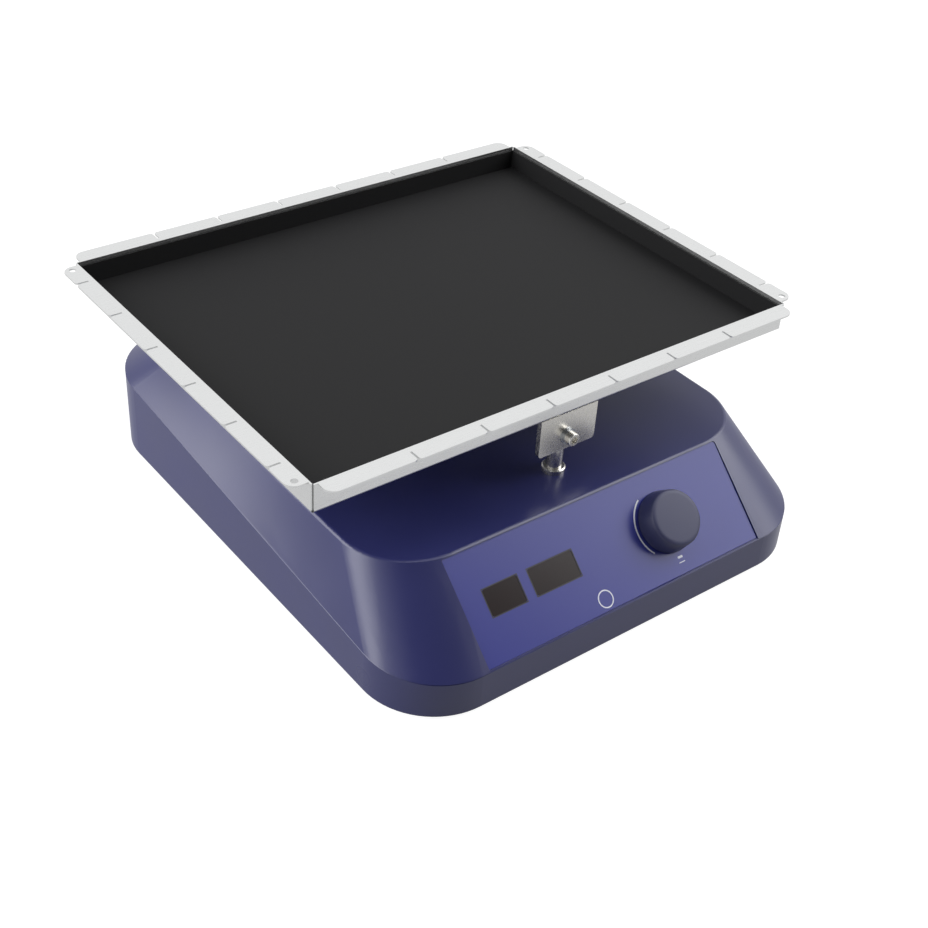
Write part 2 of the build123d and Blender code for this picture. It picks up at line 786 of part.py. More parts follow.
stud_nut_af = 7.0
stud_nut_h = 3.2
with BuildPart() as stud_nuts:
    with BuildSketch(Plane.XY.offset(tray_z - bracket_t)):
        with Locations(*bracket_studs):
            RegularPolygon(stud_nut_af / 2, 6, major_radius=False)
            Circle(stud_d / 2 + 0.02, mode=Mode.SUBTRACT)
    extrude(amount=-stud_nut_h)
    with BuildSketch(Plane.XY.offset(tray_z - fork_foot_t)):
        with Locations(*fork_studs):
            RegularPolygon(stud_nut_af / 2, 6, major_radius=False)
            Circle(stud_d / 2 + 0.02, mode=Mode.SUBTRACT)
    extrude(amount=-stud_nut_h)
save(stud_nuts.part, "stud_nuts")

# Crank: disc on the gearmotor shaft, eccentric pin and ball-bearing roller
roller_back = tray_mid_y + roller_w / 2
disc_face = roller_back + 2.0
disc_back = disc_face + crank_disc_t
pin_z = crank_z - crank_throw
gear_shaft_d = 6.0
bracket_plate_y = disc_back + 3.0
bracket_plate_t = 3.0
gearbox_y = bracket_plate_y + bracket_plate_t
gearbox_d = 37.0
gearbox_l = 28.0
motor_d = 35.5
motor_l = 56.0
shaft_end = gearbox_y + 14.0


def along_y(y):
    """Drawing plane at y that looks to the back, so that extrusions run to +Y."""
    return Plane(origin=(0, y, 0), x_dir=(-1, 0, 0), z_dir=(0, 1, 0))


with BuildPart() as crank_disc:
    with BuildSketch(along_y(disc_face)):
        with Locations((0, crank_z)):
            Circle(crank_disc_d / 2)
            Circle(gear_shaft_d / 2, mode=Mode.SUBTRACT)
        with Locations((0, pin_z)):
            Circle(crank_pin_d / 2, mode=Mode.SUBTRACT)
    extrude(amount=crank_disc_t)
save(crank_disc.part, "crank_disc")

with BuildPart() as gear_shaft:
    with BuildSketch(along_y(disc_face)):
        with Locations((0, crank_z)):
            Circle(gear_shaft_d / 2)
    extrude(amount=shaft_end - disc_face)
save(gear_shaft.part, "gear_shaft")

pin_head_t = 1.5
with BuildPart() as crank_pin:
    with BuildSketch(along_y(tray_mid_y - roller_w / 2)):
        with Locations((0, pin_z)):
            Circle(crank_pin_d / 2)
    extrude(amount=disc_back - tray_mid_y + roller_w / 2)
    with BuildSketch(along_y(tray_mid_y - roller_w / 2)):
        with Locations((0, pin_z)):
            Circle(4.5)
    extrude(amount=-pin_head_t)
save(crank_pin.part, "crank_pin")

with BuildPart() as roller:
    with BuildSketch(along_y(tray_mid_y - roller_w / 2)):
        with Locations((0, pin_z)):
            Circle(roller_d / 2)
            Circle(crank_pin_d / 2 + 0.02, mode=Mode.SUBTRACT)
    extrude(amount=roller_w)
save(roller.part, "crank_roller")

# Gearmotor on an angle plate bolted to the cradle floor
cradle_floor = cradle_z + cradle_t
gearmotor_screws = [(x, crank_z + z) for x in (-11, 11) for z in (-11, 11)]
with BuildPart() as motor_bracket:
    with BuildSketch(along_y(bracket_plate_y)):
        with Locations((0, (cradle_floor + 80) / 2)):
            Rectangle(44, 80 - cradle_floor)
        with Locations((0, crank_z)):
            Circle(7, mode=Mode.SUBTRACT)
        with Locations(*gearmotor_screws):
            Circle(1.6, mode=Mode.SUBTRACT)
    extrude(amount=bracket_plate_t)
    with BuildSketch(Plane.XY.offset(cradle_floor)):
        with Locations((0, bracket_plate_y + 15)):
            Rectangle(44, 30)
    extrude(amount=bracket_plate_t)
save(motor_bracket.part, "motor_bracket")

with BuildPart() as gearbox:
    with BuildSketch(along_y(gearbox_y)):
        with Locations((0, crank_z)):
            Circle(gearbox_d / 2)
    extrude(amount=gearbox_l)
    with BuildSketch(along_y(gearbox_y)):
        with Locations((0, crank_z)):
            Circle(gear_shaft_d / 2 + run_clear)
    extrude(amount=shaft_end - gearbox_y + 0.5, mode=Mode.SUBTRACT)
    with BuildSketch(along_y(gearbox_y)):
        with Locations(*gearmotor_screws):
            Circle(1.5)
    extrude(amount=6, mode=Mode.SUBTRACT)
save(gearbox.part, "gearbox")

with BuildPart() as motor:
    with BuildSketch(along_y(gearbox_y + gearbox_l)):
        with Locations((0, crank_z)):
            Circle(motor_d / 2)
    extrude(amount=motor_l)
    chamfer(motor.faces().sort_by(Axis.Y)[-1].edges(), length=1.5)
    with BuildSketch(along_y(gearbox_y + gearbox_l + motor_l)):
        with Locations((0, crank_z)):
            Circle(6)
    extrude(amount=3)
save(motor.part, "motor")

with BuildPart() as motor_screws:
    with BuildSketch(along_y(bracket_plate_y)):
        with Locations(*gearmotor_screws):
            Circle(2.6)
    extrude(amount=-1.8)
    with BuildSketch(along_y(bracket_plate_y)):
        with Locations(*gearmotor_screws):
            Circle(1.45)
    extrude(amount=bracket_plate_t + 5)
save(motor_screws.part, "motor_screws")

# Supply board with its main parts, on the four stand-offs
supply_z = floor_top + supply_stand
with BuildPart() as supply:
    with BuildSketch(Plane.XY.offset(supply_z)):
        with Locations((supply_x, supply_y)):
            Rectangle(supply_w, supply_l)
    extrude(amount=1.6)
    with BuildSketch(Plane.XY.offset(supply_z + 1.6)):
        with Locations((supply_x - 4, supply_y - 8)):
            Rectangle(30, 26)
    extrude(amount=22)
    with BuildSketch(Plane.XY.offset(supply_z + 1.6)):
        with Locations((supply_x + 10, supply_y + 34), (supply_x - 12, supply_y + 34)):
            Circle(8)
    extrude(amount=25)
    with BuildSketch(Plane.XY.offset(supply_z + 1.6)):
        with Locations((supply_x, supply_y - 38)):
            Rectangle(40, 3)
    extrude(amount=20)
save(supply.part, "supply_board")

# Power inlet and mains switch in the back wall
inlet_flange_t = 2.0
inlet_depth = 22.0
with BuildPart() as inlet:
    with BuildSketch(along_y(rear_y)):
        with Locations((-inlet_x, inlet_z)):
            RectangleRounded(inlet_w + 6, inlet_h + 6, 3)
    extrude(amount=inlet_flange_t)
    with BuildSketch(along_y(rear_y)):
        with Locations((-inlet_x, inlet_z)):
            Rectangle(inlet_w, inlet_h)
    extrude(amount=-inlet_depth)
    with BuildSketch(along_y(rear_y + inlet_flange_t)):
        with Locations((-inlet_x, inlet_z)):
            inside = Rectangle(inlet_w - 3.2, inlet_h - 3.2)
        fillet(inside.vertices().group_by(Axis.Y)[-1], radius=3)
    extrude(amount=-17, mode=Mode.SUBTRACT)
    with BuildSketch(along_y(rear_y + inlet_flange_t - 17)):
        with Locations((-inlet_x, inlet_z + 2), (-inlet_x - 7, inlet_z - 2), (-inlet_x + 7, inlet_z - 2)):
            Rectangle(2, 4)
    extrude(amount=14)
save(inlet.part, "power_inlet")

with BuildPart() as switch_frame:
    with BuildSketch(along_y(rear_y)):
        with Locations((-switch_x, inlet_z)):
            RectangleRounded(switch_w + 3, switch_h + 3, 1.5)
    extrude(amount=1.5)
    with BuildSketch(along_y(rear_y)):
        with Locations((-switch_x, inlet_z)):
            Rectangle(switch_w, switch_h)
    extrude(amount=-15)
    with BuildSketch(along_y(rear_y + 1.5)):
        with Locations((-switch_x, inlet_z)):
            Rectangle(switch_w - 2, switch_h - 2)
    extrude(amount=-10, mode=Mode.SUBTRACT)
save(switch_frame.part, "switch_frame")

# Rocker: shallow wedge that pivots behind the frame, resting with its lower end in
rocker_deg = 7.0
rocker_w = switch_w - 2.6
rocker_h = switch_h - 3.6
rocker_y = rear_y - 1.5
rocker_reach = 3.2
with BuildPart() as rocker:
    with BuildSketch(Plane(origin=(switch_x, rocker_y, inlet_z), x_dir=(0, 1, 0), z_dir=(1, 0, 0))):
        with BuildLine():
            Polyline(
                (-3.2, -rocker_h / 2 + 2.5),
                (rocker_reach + 0.6, -rocker_h / 2),
                (rocker_reach, 0),
                (rocker_reach + 0.6, rocker_h / 2),
                (-3.2, rocker_h / 2 - 2.5),
                close=True,
            )
        make_face()
    extrude(amount=rocker_w / 2, both=True)
rocker_axis = Axis((switch_x, rocker_y, inlet_z), (1, 0, 0))
save(rocker.part.rotate(rocker_axis, -rocker_deg), "switch_rocker")

# Feet and the screws that hold feet and shells, all driven from below
foot_t = foot_proud + foot_sink
with BuildPart() as feet:
    with BuildSketch():
        with Locations(*foot_spots):
            Circle(foot_d / 2)
    extrude(amount=foot_t)
    chamfer(feet.faces().group_by(Axis.Z)[0].edges(), length=0.6)
    with BuildSketch():
        with Locations(*foot_spots):
            Circle(4.5)
    extrude(amount=foot_t - 1.2, mode=Mode.SUBTRACT)
    with BuildSketch():
        with Locations(*foot_spots):
            Circle(screw_d / 2)
    extrude(amount=foot_t, mode=Mode.SUBTRACT)
save(feet.part, "feet")

with BuildPart() as foot_screws:
    with BuildSketch(Plane.XY.offset(foot_t - 1.2)):
        with Locations(*foot_spots):
            Circle(4)
    extrude(amount=-1.7)
    with BuildSketch(Plane.XY.offset(foot_t - 1.2)):
        with Locations(*foot_spots):
            Circle(screw_d / 2 - 0.05)
    extrude(amount=5.5)
save(foot_screws.part, "foot_screws")

with BuildPart() as shell_screws:
    with BuildSketch(Plane.XY.offset(skirt_z + 8)):
        with Locations(*boss_spots):
            Circle(3.8)
    extrude(amount=-3)
    with BuildSketch(Plane.XY.offset(skirt_z + 8)):
        with Locations(*boss_spots):
            Circle(screw_d / 2 - 0.05)
    extrude(amount=boss_top + 12 - skirt_z - 8)
save(shell_screws.part, "shell_screws")
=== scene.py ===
# %% [markdown]
# # A rocking bench shaker
#
# The machine has a blue moulded base with a sloped control panel. On two steel posts
# sits a folded sheet tray with a black rubber liner, which rocks about an axis that
# runs from the front to the back. The solid shapes come from the imported model, so this
# script loads them as a fixed frame and gives each of them its real finish. Then it
# adds what the solids lack: the outline of the knob's cap, the printed marks on the
# panel, which are too thin to be solids, and a dark band of painted shade round each
# window.

# %% Load the frame
import json
import math

import bmesh
import bpy
from mathutils import Matrix, Vector


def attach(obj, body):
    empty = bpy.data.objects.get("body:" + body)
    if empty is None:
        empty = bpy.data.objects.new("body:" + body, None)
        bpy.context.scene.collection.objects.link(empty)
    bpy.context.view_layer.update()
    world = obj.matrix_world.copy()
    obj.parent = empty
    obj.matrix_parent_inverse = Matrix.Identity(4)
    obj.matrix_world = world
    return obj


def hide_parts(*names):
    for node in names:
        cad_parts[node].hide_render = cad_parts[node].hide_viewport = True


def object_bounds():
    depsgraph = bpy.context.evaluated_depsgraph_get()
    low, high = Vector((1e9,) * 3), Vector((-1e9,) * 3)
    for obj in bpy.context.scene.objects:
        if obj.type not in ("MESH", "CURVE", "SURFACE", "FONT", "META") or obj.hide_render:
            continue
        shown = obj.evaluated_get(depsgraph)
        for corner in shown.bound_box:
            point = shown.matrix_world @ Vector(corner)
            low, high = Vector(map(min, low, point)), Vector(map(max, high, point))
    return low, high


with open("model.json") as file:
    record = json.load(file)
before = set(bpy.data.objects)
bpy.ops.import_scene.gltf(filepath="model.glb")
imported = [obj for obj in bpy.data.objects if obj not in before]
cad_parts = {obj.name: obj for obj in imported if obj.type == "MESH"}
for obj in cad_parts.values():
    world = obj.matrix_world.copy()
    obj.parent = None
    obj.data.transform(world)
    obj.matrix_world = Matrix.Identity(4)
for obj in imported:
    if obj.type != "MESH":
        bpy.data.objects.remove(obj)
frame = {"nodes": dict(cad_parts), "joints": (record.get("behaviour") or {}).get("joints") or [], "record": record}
nodes = frame["nodes"]
cad_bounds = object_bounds()
MM = 0.001
bpy.ops.object.select_all(action="DESELECT")

# %% [markdown]
# ## Two helpers for materials
#
# A colour is chosen as it looks on a screen, as an sRGB hex value, but Blender mixes
# light in linear numbers, so one function turns the first into the second. A second
# small function adds a shader node, sets its values and links what feeds it. With these
# two, a material reads like a short recipe.

# %% Colour and node helpers
def colour(hex_code):
    """Linear RGBA of an sRGB hex colour."""
    parts = [int(hex_code[i : i + 2], 16) / 255 for i in (1, 3, 5)]
    linear = [c / 12.92 if c <= 0.04045 else ((c + 0.055) / 1.055) ** 2.4 for c in parts]
    return (*linear, 1.0)


def add_node(tree, kind, values=None, links=None, **settings):
    """Add a shader node with settings, socket values and links into its sockets."""
    node = tree.nodes.new(kind)
    for name, value in settings.items():
        setattr(node, name, value)
    for name, value in (values or {}).items():
        node.inputs[name].default_value = value
    for name, socket in (links or {}).items():
        tree.links.new(socket, node.inputs[name])
    return node


def start_material(name):
    """An empty material with its output node and Object coordinates ready."""
    material = bpy.data.materials.new(name)
    material.use_nodes = True
    tree = material.node_tree
    tree.nodes.clear()
    output = add_node(tree, "ShaderNodeOutputMaterial")
    place = add_node(tree, "ShaderNodeTexCoord")
    return material, tree, output, place.outputs["Object"]


def per_mm(size_mm):
    """Noise scale whose blotches are about size_mm wide, as objects are in metres."""
    return 1.0 / (size_mm * MM)


materials = {}

# %% [markdown]
# ## The camera
#
# The photograph looks down at the front left corner. The position, the turn and the
# focal length were worked out by fitting straight edges of the base, so the render and
# the photograph can be laid over each other. The camera has a small roll, which is put
# in by turning its right and up directions about the line of sight.

# %% Camera
FOCAL_MM = 57.08
SENSOR_MM = 36.0
SIGHT_END = 20.0
CAMERA_AT = Vector((-0.5811, -0.7246, 0.6917))
AZIMUTH = math.radians(-39.54)
ELEVATION = math.radians(35.99)
ROLL = math.radians(4.05)

back = Vector(
    (
        math.sin(AZIMUTH) * math.cos(ELEVATION),
        -math.cos(AZIMUTH) * math.cos(ELEVATION),
        math.sin(ELEVATION),
    )
)
level_right = (-back).cross(Vector((0, 0, 1))).normalized()
level_up = level_right.cross(-back)
right = level_right * math.cos(ROLL) + level_up * math.sin(ROLL)
up = level_up * math.cos(ROLL) - level_right * math.sin(ROLL)

camera = bpy.data.objects.new("camera", bpy.data.cameras.new("camera"))
bpy.context.scene.collection.objects.link(camera)
camera.data.lens = FOCAL_MM
camera.data.sensor_width = SENSOR_MM
camera.data.clip_end = SIGHT_END
camera_turn = Matrix((right, up, back)).transposed().to_4x4()
camera.matrix_world = Matrix.Translation(CAMERA_AT) @ camera_turn
bpy.context.scene.camera = camera
print("camera", round(FOCAL_MM, 1), "mm at", [round(c, 3) for c in CAMERA_AT])

# %% [markdown]
# ## White floor
#
# The object stands on a white paper sweep. Paper that is lit to pure white would throw
# a lot of light up at the object, so this one is a middle grey that also glows. The
# Light Path node lets the glow act only on rays from the camera, through glass, or, more
# weakly, in reflections. So the floor looks white and keeps a soft shadow, and it adds
# no light to the object.

# %% Floor
bpy.context.scene.view_settings.view_transform = "Standard"

FLOOR_SIZE = 12.0
FLOOR_DROP = 0.2 * MM
GLOW_SEEN = 0.93
GLOW_MIRRORED = 0.52

bpy.ops.mesh.primitive_plane_add(size=FLOOR_SIZE, location=(0, 0, -FLOOR_DROP))
floor = bpy.context.object
floor.name = "floor"

paper, tree, output, _ = start_material("matt_white_paper")
ray = add_node(tree, "ShaderNodeLightPath")
mirrored = add_node(
    tree,
    "ShaderNodeMath",
    operation="MULTIPLY",
    values={1: GLOW_MIRRORED},
    links={0: ray.outputs["Is Glossy Ray"]},
)
straight = add_node(
    tree,
    "ShaderNodeMath",
    operation="MAXIMUM",
    links={0: ray.outputs["Is Camera Ray"], 1: ray.outputs["Is Transmission Ray"]},
)
glow = add_node(
    tree,
    "ShaderNodeMath",
    operation="MULTIPLY_ADD",
    values={1: GLOW_SEEN},
    links={0: straight.outputs[0], 2: mirrored.outputs[0]},
)
emission = add_node(tree, "ShaderNodeEmission", links={"Strength": glow.outputs[0]})
sheet = add_node(tree, "ShaderNodeBsdfDiffuse", values={"Color": colour("#8c8c8c")})
both = add_node(
    tree,
    "ShaderNodeAddShader",
    links={0: emission.outputs[0], 1: sheet.outputs[0]},
)
tree.links.new(both.outputs[0], output.inputs["Surface"])
floor.data.materials.append(paper)
print("floor:", FLOOR_SIZE, "m wide, glow", GLOW_SEEN, "seen and", GLOW_MIRRORED, "mirrored")

# %% [markdown]
# ## The studio around it
#
# Glossy plastic shows what stands around it. In the photograph the front slope and the
# corner stay deep blue, so the room in front of the object, behind the camera, was dark
# and the rest of it pale. The world does the same: a dot product tells how near a
# direction is to the middle of that dark part, and a smooth step darkens the world
# there. The camera itself always sees white, and the diffuse light of the world is weak,
# so that the lamps shape the object.

# %% World
DARK_MIDDLE = (-0.11, -0.81, 0.57)
DARK_EDGE = (0.66, 0.85)
DARK_LEVEL = 0.12
DIFFUSE_LEVEL = 0.1

world = bpy.data.worlds.new("studio")
world.use_nodes = True
tree = world.node_tree
tree.nodes.clear()
output = add_node(tree, "ShaderNodeOutputWorld")
ray = add_node(tree, "ShaderNodeLightPath")
seen = add_node(
    tree,
    "ShaderNodeMath",
    operation="MAXIMUM",
    links={0: ray.outputs["Is Camera Ray"], 1: ray.outputs["Is Glossy Ray"]},
)
seen = add_node(
    tree,
    "ShaderNodeMath",
    operation="MAXIMUM",
    links={0: seen.outputs[0], 1: ray.outputs["Is Transmission Ray"]},
)
direction = add_node(tree, "ShaderNodeTexCoord")
towards_dark = add_node(
    tree,
    "ShaderNodeVectorMath",
    operation="DOT_PRODUCT",
    values={1: DARK_MIDDLE},
    links={0: direction.outputs["Generated"]},
)
wall = add_node(
    tree,
    "ShaderNodeMapRange",
    interpolation_type="SMOOTHSTEP",
    values={
        "From Min": DARK_EDGE[0],
        "From Max": DARK_EDGE[1],
        "To Min": 1.0,
        "To Max": DARK_LEVEL,
    },
    links={"Value": towards_dark.outputs["Value"]},
)
white = add_node(
    tree,
    "ShaderNodeMath",
    operation="MAXIMUM",
    links={0: wall.outputs[0], 1: ray.outputs["Is Camera Ray"]},
)
level = add_node(
    tree,
    "ShaderNodeMix",
    data_type="FLOAT",
    values={2: DIFFUSE_LEVEL},
    links={0: seen.outputs[0], 3: white.outputs[0]},
)
sky = add_node(
    tree,
    "ShaderNodeBackground",
    values={"Color": (1.0, 1.0, 1.0, 1.0)},
    links={"Strength": level.outputs[0]},
)
tree.links.new(sky.outputs[0], output.inputs["Surface"])
bpy.context.scene.world = world
print("world: diffuse light", DIFFUSE_LEVEL, "and darkest towards", DARK_MIDDLE)

# %% [markdown]
# ## Softboxes
#
# Studio pictures of such machines use softboxes, which are large square lamps. A square
# area lamp gives the same broad highlights and soft shadow edges. A weak one hangs
# overhead, one stands far to the right, and one to the left, a little behind the object,
# so that the left wall is bright and the corner between it and the front stays dark.

# %% Lamps
def softbox(name, at, towards, size, watts):
    """A square area lamp at a place, turned to look at a point."""
    lamp = bpy.data.objects.new(name, bpy.data.lights.new(name, "AREA"))
    lamp.data.shape = "SQUARE"
    lamp.data.size = size
    lamp.data.energy = watts
    lamp.location = at
    aim = Vector(towards) - Vector(at)
    lamp.rotation_euler = aim.to_track_quat("-Z", "Y").to_euler()
    bpy.context.scene.collection.objects.link(lamp)
    print(name, "is", round(aim.length, 2), "m away at", watts, "W")


softbox("overhead_softbox", at=(0.0, 0.2, 2.2), towards=(0, 0, 0.1), size=1.4, watts=8)
softbox("right_softbox", at=(1.7, -0.8, 1.6), towards=(0, 0, 0.05), size=2.0, watts=46)
softbox("left_softbox", at=(-2.1, 0.85, 0.95), towards=(0, 0, 0.05), size=2.0, watts=62)

# %% [markdown]
# ## Moulded housing
#
# The two shells are ABS, coloured navy and moulded in a finely eroded tool, which gives
# a satin skin: it mirrors bright surroundings softly near grazing angles, and the blue
# stays deep where it faces the dark underside of the tray. Faint blotches of roughness,
# a few centimetres wide, are left by the flow of the plastic, and a very low bump with
# a grain of half a millimetre stands for the eroded skin.

# %% Navy ABS
shell_abs, tree, output, place = start_material("moulded_abs_navy")
flow = add_node(
    tree,
    "ShaderNodeTexNoise",
    values={"Scale": per_mm(45), "Detail": 0.0},
    links={"Vector": place},
)
satin = add_node(
    tree,
    "ShaderNodeMapRange",
    values={"From Min": 0.0, "From Max": 1.0, "To Min": 0.26, "To Max": 0.34},
    links={"Value": flow.outputs["Fac"]},
)
tone = add_node(
    tree,
    "ShaderNodeMix",
    data_type="RGBA",
    values={6: colour("#2b2e60"), 7: colour("#2f3266")},
    links={0: flow.outputs["Fac"]},
)
grain = add_node(
    tree,
    "ShaderNodeTexNoise",
    values={"Scale": per_mm(0.5), "Detail": 2.0},
    links={"Vector": place},
)
bump = add_node(
    tree,
    "ShaderNodeBump",
    values={"Strength": 0.03, "Distance": 0.02 * MM},
    links={"Height": grain.outputs["Fac"]},
)
skin = add_node(
    tree,
    "ShaderNodeBsdfPrincipled",
    values={"IOR": 1.52},
    links={
        "Base Color": tone.outputs[2],
        "Roughness": satin.outputs[0],
        "Normal": bump.outputs[0],
    },
)
tree.links.new(skin.outputs[0], output.inputs["Surface"])
materials["shell_blue"] = shell_abs
print(shell_abs.name, "has", len(tree.nodes), "shader nodes")

# %% [markdown]
# ## Control panel
#
# The panel is a polycarbonate overlay, printed from behind in a lighter violet blue
# and fine-textured in front. Its colour is brighter than that of the shell, and its
# anti-glare face mirrors less, so the specular level is lowered.

# %% Panel overlay
panel_film, tree, output, place = start_material("printed_polycarbonate_violet")
grain = add_node(
    tree,
    "ShaderNodeTexNoise",
    values={"Scale": per_mm(0.35), "Detail": 2.0},
    links={"Vector": place},
)
bump = add_node(
    tree,
    "ShaderNodeBump",
    values={"Strength": 0.15, "Distance": 0.02 * MM},
    links={"Height": grain.outputs["Fac"]},
)
skin = add_node(
    tree,
    "ShaderNodeBsdfPrincipled",
    values={
        "Base Color": colour("#3b4092"),
        "Roughness": 0.27,
        "IOR": 1.58,
        "Specular IOR Level": 0.3,
    },
    links={"Normal": bump.outputs[0]},
)
tree.links.new(skin.outputs[0], output.inputs["Surface"])
materials["panel_blue"] = panel_film
print(panel_film.name, "has", len(tree.nodes), "shader nodes")

# %% [markdown]
# ## Display windows
#
# The windows are cast acrylic, dyed a smoky red brown so that unlit digits vanish. In
# a photograph they look almost black with a warm tint, and their face mirrors the room
# faintly. A dark body colour with a smooth, weak gloss gives that.

# %% Smoked acrylic
window_acrylic, tree, output, _ = start_material("smoked_acrylic_brown")
skin = add_node(
    tree,
    "ShaderNodeBsdfPrincipled",
    values={
        "Base Color": colour("#241a1a"),
        "Roughness": 0.2,
        "IOR": 1.49,
        "Specular IOR Level": 0.22,
    },
)
tree.links.new(skin.outputs[0], output.inputs["Surface"])
materials["window_tint"] = window_acrylic
print(window_acrylic.name, "has", len(tree.nodes), "shader nodes")

# %% [markdown]
# ## Knob
#
# The knob is moulded nylon with a matt blue grey skin, duller than the panel round it. A
# fine noise drives a low bump, which breaks up the highlight on its wall. The place and
# the axis of the knob are read from its joint, because the cap and the printed marks
# are set out from them further down.

# %% Matt knob
knob_joint = next(j for j in frame["joints"] if j["name"] == "knob_turn")
knob_at = Vector(knob_joint["pos_m"])
slope_up = Vector(knob_joint["axis"]).normalized()

knob_skin, tree, output, place = start_material("moulded_nylon_blue_grey")
grain = add_node(
    tree,
    "ShaderNodeTexNoise",
    values={"Scale": per_mm(0.4), "Detail": 3.0},
    links={"Vector": place},
)
bump = add_node(
    tree,
    "ShaderNodeBump",
    values={"Strength": 0.2, "Distance": 0.02 * MM},
    links={"Height": grain.outputs["Fac"]},
)
skin = add_node(
    tree,
    "ShaderNodeBsdfPrincipled",
    values={"Base Color": colour("#2c2f52"), "Roughness": 0.5, "IOR": 1.53},
    links={"Normal": bump.outputs[0]},
)
tree.links.new(skin.outputs[0], output.inputs["Surface"])
materials["knob_blue"] = knob_skin
print("knob at", [round(c, 4) for c in knob_at], "with its axis", [round(c, 3) for c in slope_up])

# %% [markdown]
# ## Steel and other metals
#
# The tray is folded from brushed stainless sheet: fine parallel scratches, a few tenths
# of a millimetre apart, run along the sheet. The posts, brackets and pivot screws are
# nickel-plated and smoother, and the hidden screws and nuts are zinc-plated and duller.
# One function makes such a metal from its colour, its roughness and the direction of
# its scratches, because only those differ. The scratches are a noise whose coordinates
# are squeezed along one axis, which draws it out into streaks.

# %% Metals
def metal(name, hex_code, roughness, scratch_mm, stretch, bump_strength):
    """A metal with scratches: noise that is stretched along one direction."""
    material, tree, output, place = start_material(name)
    longer = add_node(
        tree,
        "ShaderNodeMapping",
        values={"Scale": stretch},
        links={"Vector": place},
    )
    scratches = add_node(
        tree,
        "ShaderNodeTexNoise",
        values={"Scale": per_mm(scratch_mm), "Detail": 3.0},
        links={"Vector": longer.outputs[0]},
    )
    spread = add_node(
        tree,
        "ShaderNodeMapRange",
        values={
            "From Min": 0.3,
            "From Max": 0.7,
            "To Min": roughness * 0.85,
            "To Max": roughness * 1.15,
        },
        links={"Value": scratches.outputs["Fac"]},
    )
    bump = add_node(
        tree,
        "ShaderNodeBump",
        values={"Strength": bump_strength, "Distance": 0.01 * MM},
        links={"Height": scratches.outputs["Fac"]},
    )
    skin = add_node(
        tree,
        "ShaderNodeBsdfPrincipled",
        values={"Base Color": colour(hex_code), "Metallic": 1.0},
        links={"Roughness": spread.outputs[0], "Normal": bump.outputs[0]},
    )
    tree.links.new(skin.outputs[0], output.inputs["Surface"])
    return material


# name, colour, roughness, scratch size in mm, stretch, bump strength
METALS = {
    "tray_steel": ("brushed_stainless_sheet", "#dedfdf", 0.3, 0.4, (0.03, 1, 1), 0.3),
    "bright_steel": ("polished_nickel_plate", "#d6d4cf", 0.27, 0.6, (1, 1, 0.2), 0.1),
    "zinc_steel": ("zinc_plated_steel", "#a9adb2", 0.34, 0.8, (1, 1, 1), 0.15),
    "fork_aluminium": ("milled_aluminium", "#b7b8ba", 0.3, 0.5, (1, 1, 0.1), 0.2),
    "bronze": ("sintered_bronze", "#a07a44", 0.42, 0.3, (1, 1, 1), 0.3),
}
for slot, recipe in METALS.items():
    materials[slot] = metal(*recipe)
print("metals:", list(METALS))

# %% [markdown]
# ## Rubber, plastic and paint
#
# The remaining pieces are matt: an EPDM rubber liner with a leathery skin, soft feet,
# black polyamide for the inlet and the switch, paint on the cradle and the motor, and
# the green lacquer of a circuit board. They share one recipe: a noise that varies the
# tone a little and lifts a low bump.

# %% Matt materials
def matt(name, dark_hex, light_hex, roughness, ior, gloss, grain_mm, bump_strength, bump_mm):
    """A non-metal with a two-tone mottle and a grain of one size."""
    material, tree, output, place = start_material(name)
    grain = add_node(
        tree,
        "ShaderNodeTexNoise",
        values={"Scale": per_mm(grain_mm), "Detail": 4.0},
        links={"Vector": place},
    )
    tone = add_node(
        tree,
        "ShaderNodeMix",
        data_type="RGBA",
        values={6: colour(dark_hex), 7: colour(light_hex)},
        links={0: grain.outputs["Fac"]},
    )
    bump = add_node(
        tree,
        "ShaderNodeBump",
        values={"Strength": bump_strength, "Distance": bump_mm * MM},
        links={"Height": grain.outputs["Fac"]},
    )
    skin = add_node(
        tree,
        "ShaderNodeBsdfPrincipled",
        values={"Roughness": roughness, "IOR": ior, "Specular IOR Level": gloss},
        links={"Base Color": tone.outputs[2], "Normal": bump.outputs[0]},
    )
    tree.links.new(skin.outputs[0], output.inputs["Surface"])
    return material


# name, dark tone, light tone, roughness, IOR, gloss, grain in mm, bump strength, bump in mm
MATTS = {
    "liner_rubber": ("epdm_rubber_sheet", "#1d1d1e", "#232324", 0.62, 1.50, 0.14, 0.8, 0.3, 0.05),
    "foot_rubber": ("moulded_rubber", "#141414", "#1c1c1c", 0.7, 1.50, 0.3, 0.6, 0.3, 0.05),
    "black_plastic": ("black_polyamide", "#101011", "#161617", 0.45, 1.53, 0.5, 0.5, 0.25, 0.03),
    "cradle_steel": ("powder_coated_steel", "#4a4c50", "#54565a", 0.5, 1.50, 0.5, 0.7, 0.35, 0.05),
    "motor_metal": ("enamelled_motor_steel", "#26272a", "#303134", 0.35, 1.5, 0.5, 1.2, 0.1, 0.03),
    "board_green": ("board_lacquer_green", "#0b3d22", "#0f4a2a", 0.3, 1.50, 0.5, 2.0, 0.1, 0.02),
}
for slot, recipe in MATTS.items():
    materials[slot] = matt(*recipe)
print("matt materials:", list(MATTS))

# %% [markdown]
# ## Dressing the nodes
#
# The record says which finish each node of the solid model has, so nothing is guessed
# from names. Each node's own material slots are filled from that list, and the meshes
# stay as they are.

# %% Dress the nodes
for row in frame["record"]["subparts"]:
    mesh = nodes[row["node"]].data
    for index in range(len(mesh.materials)):
        mesh.materials[index] = materials[row["material_slot"]]

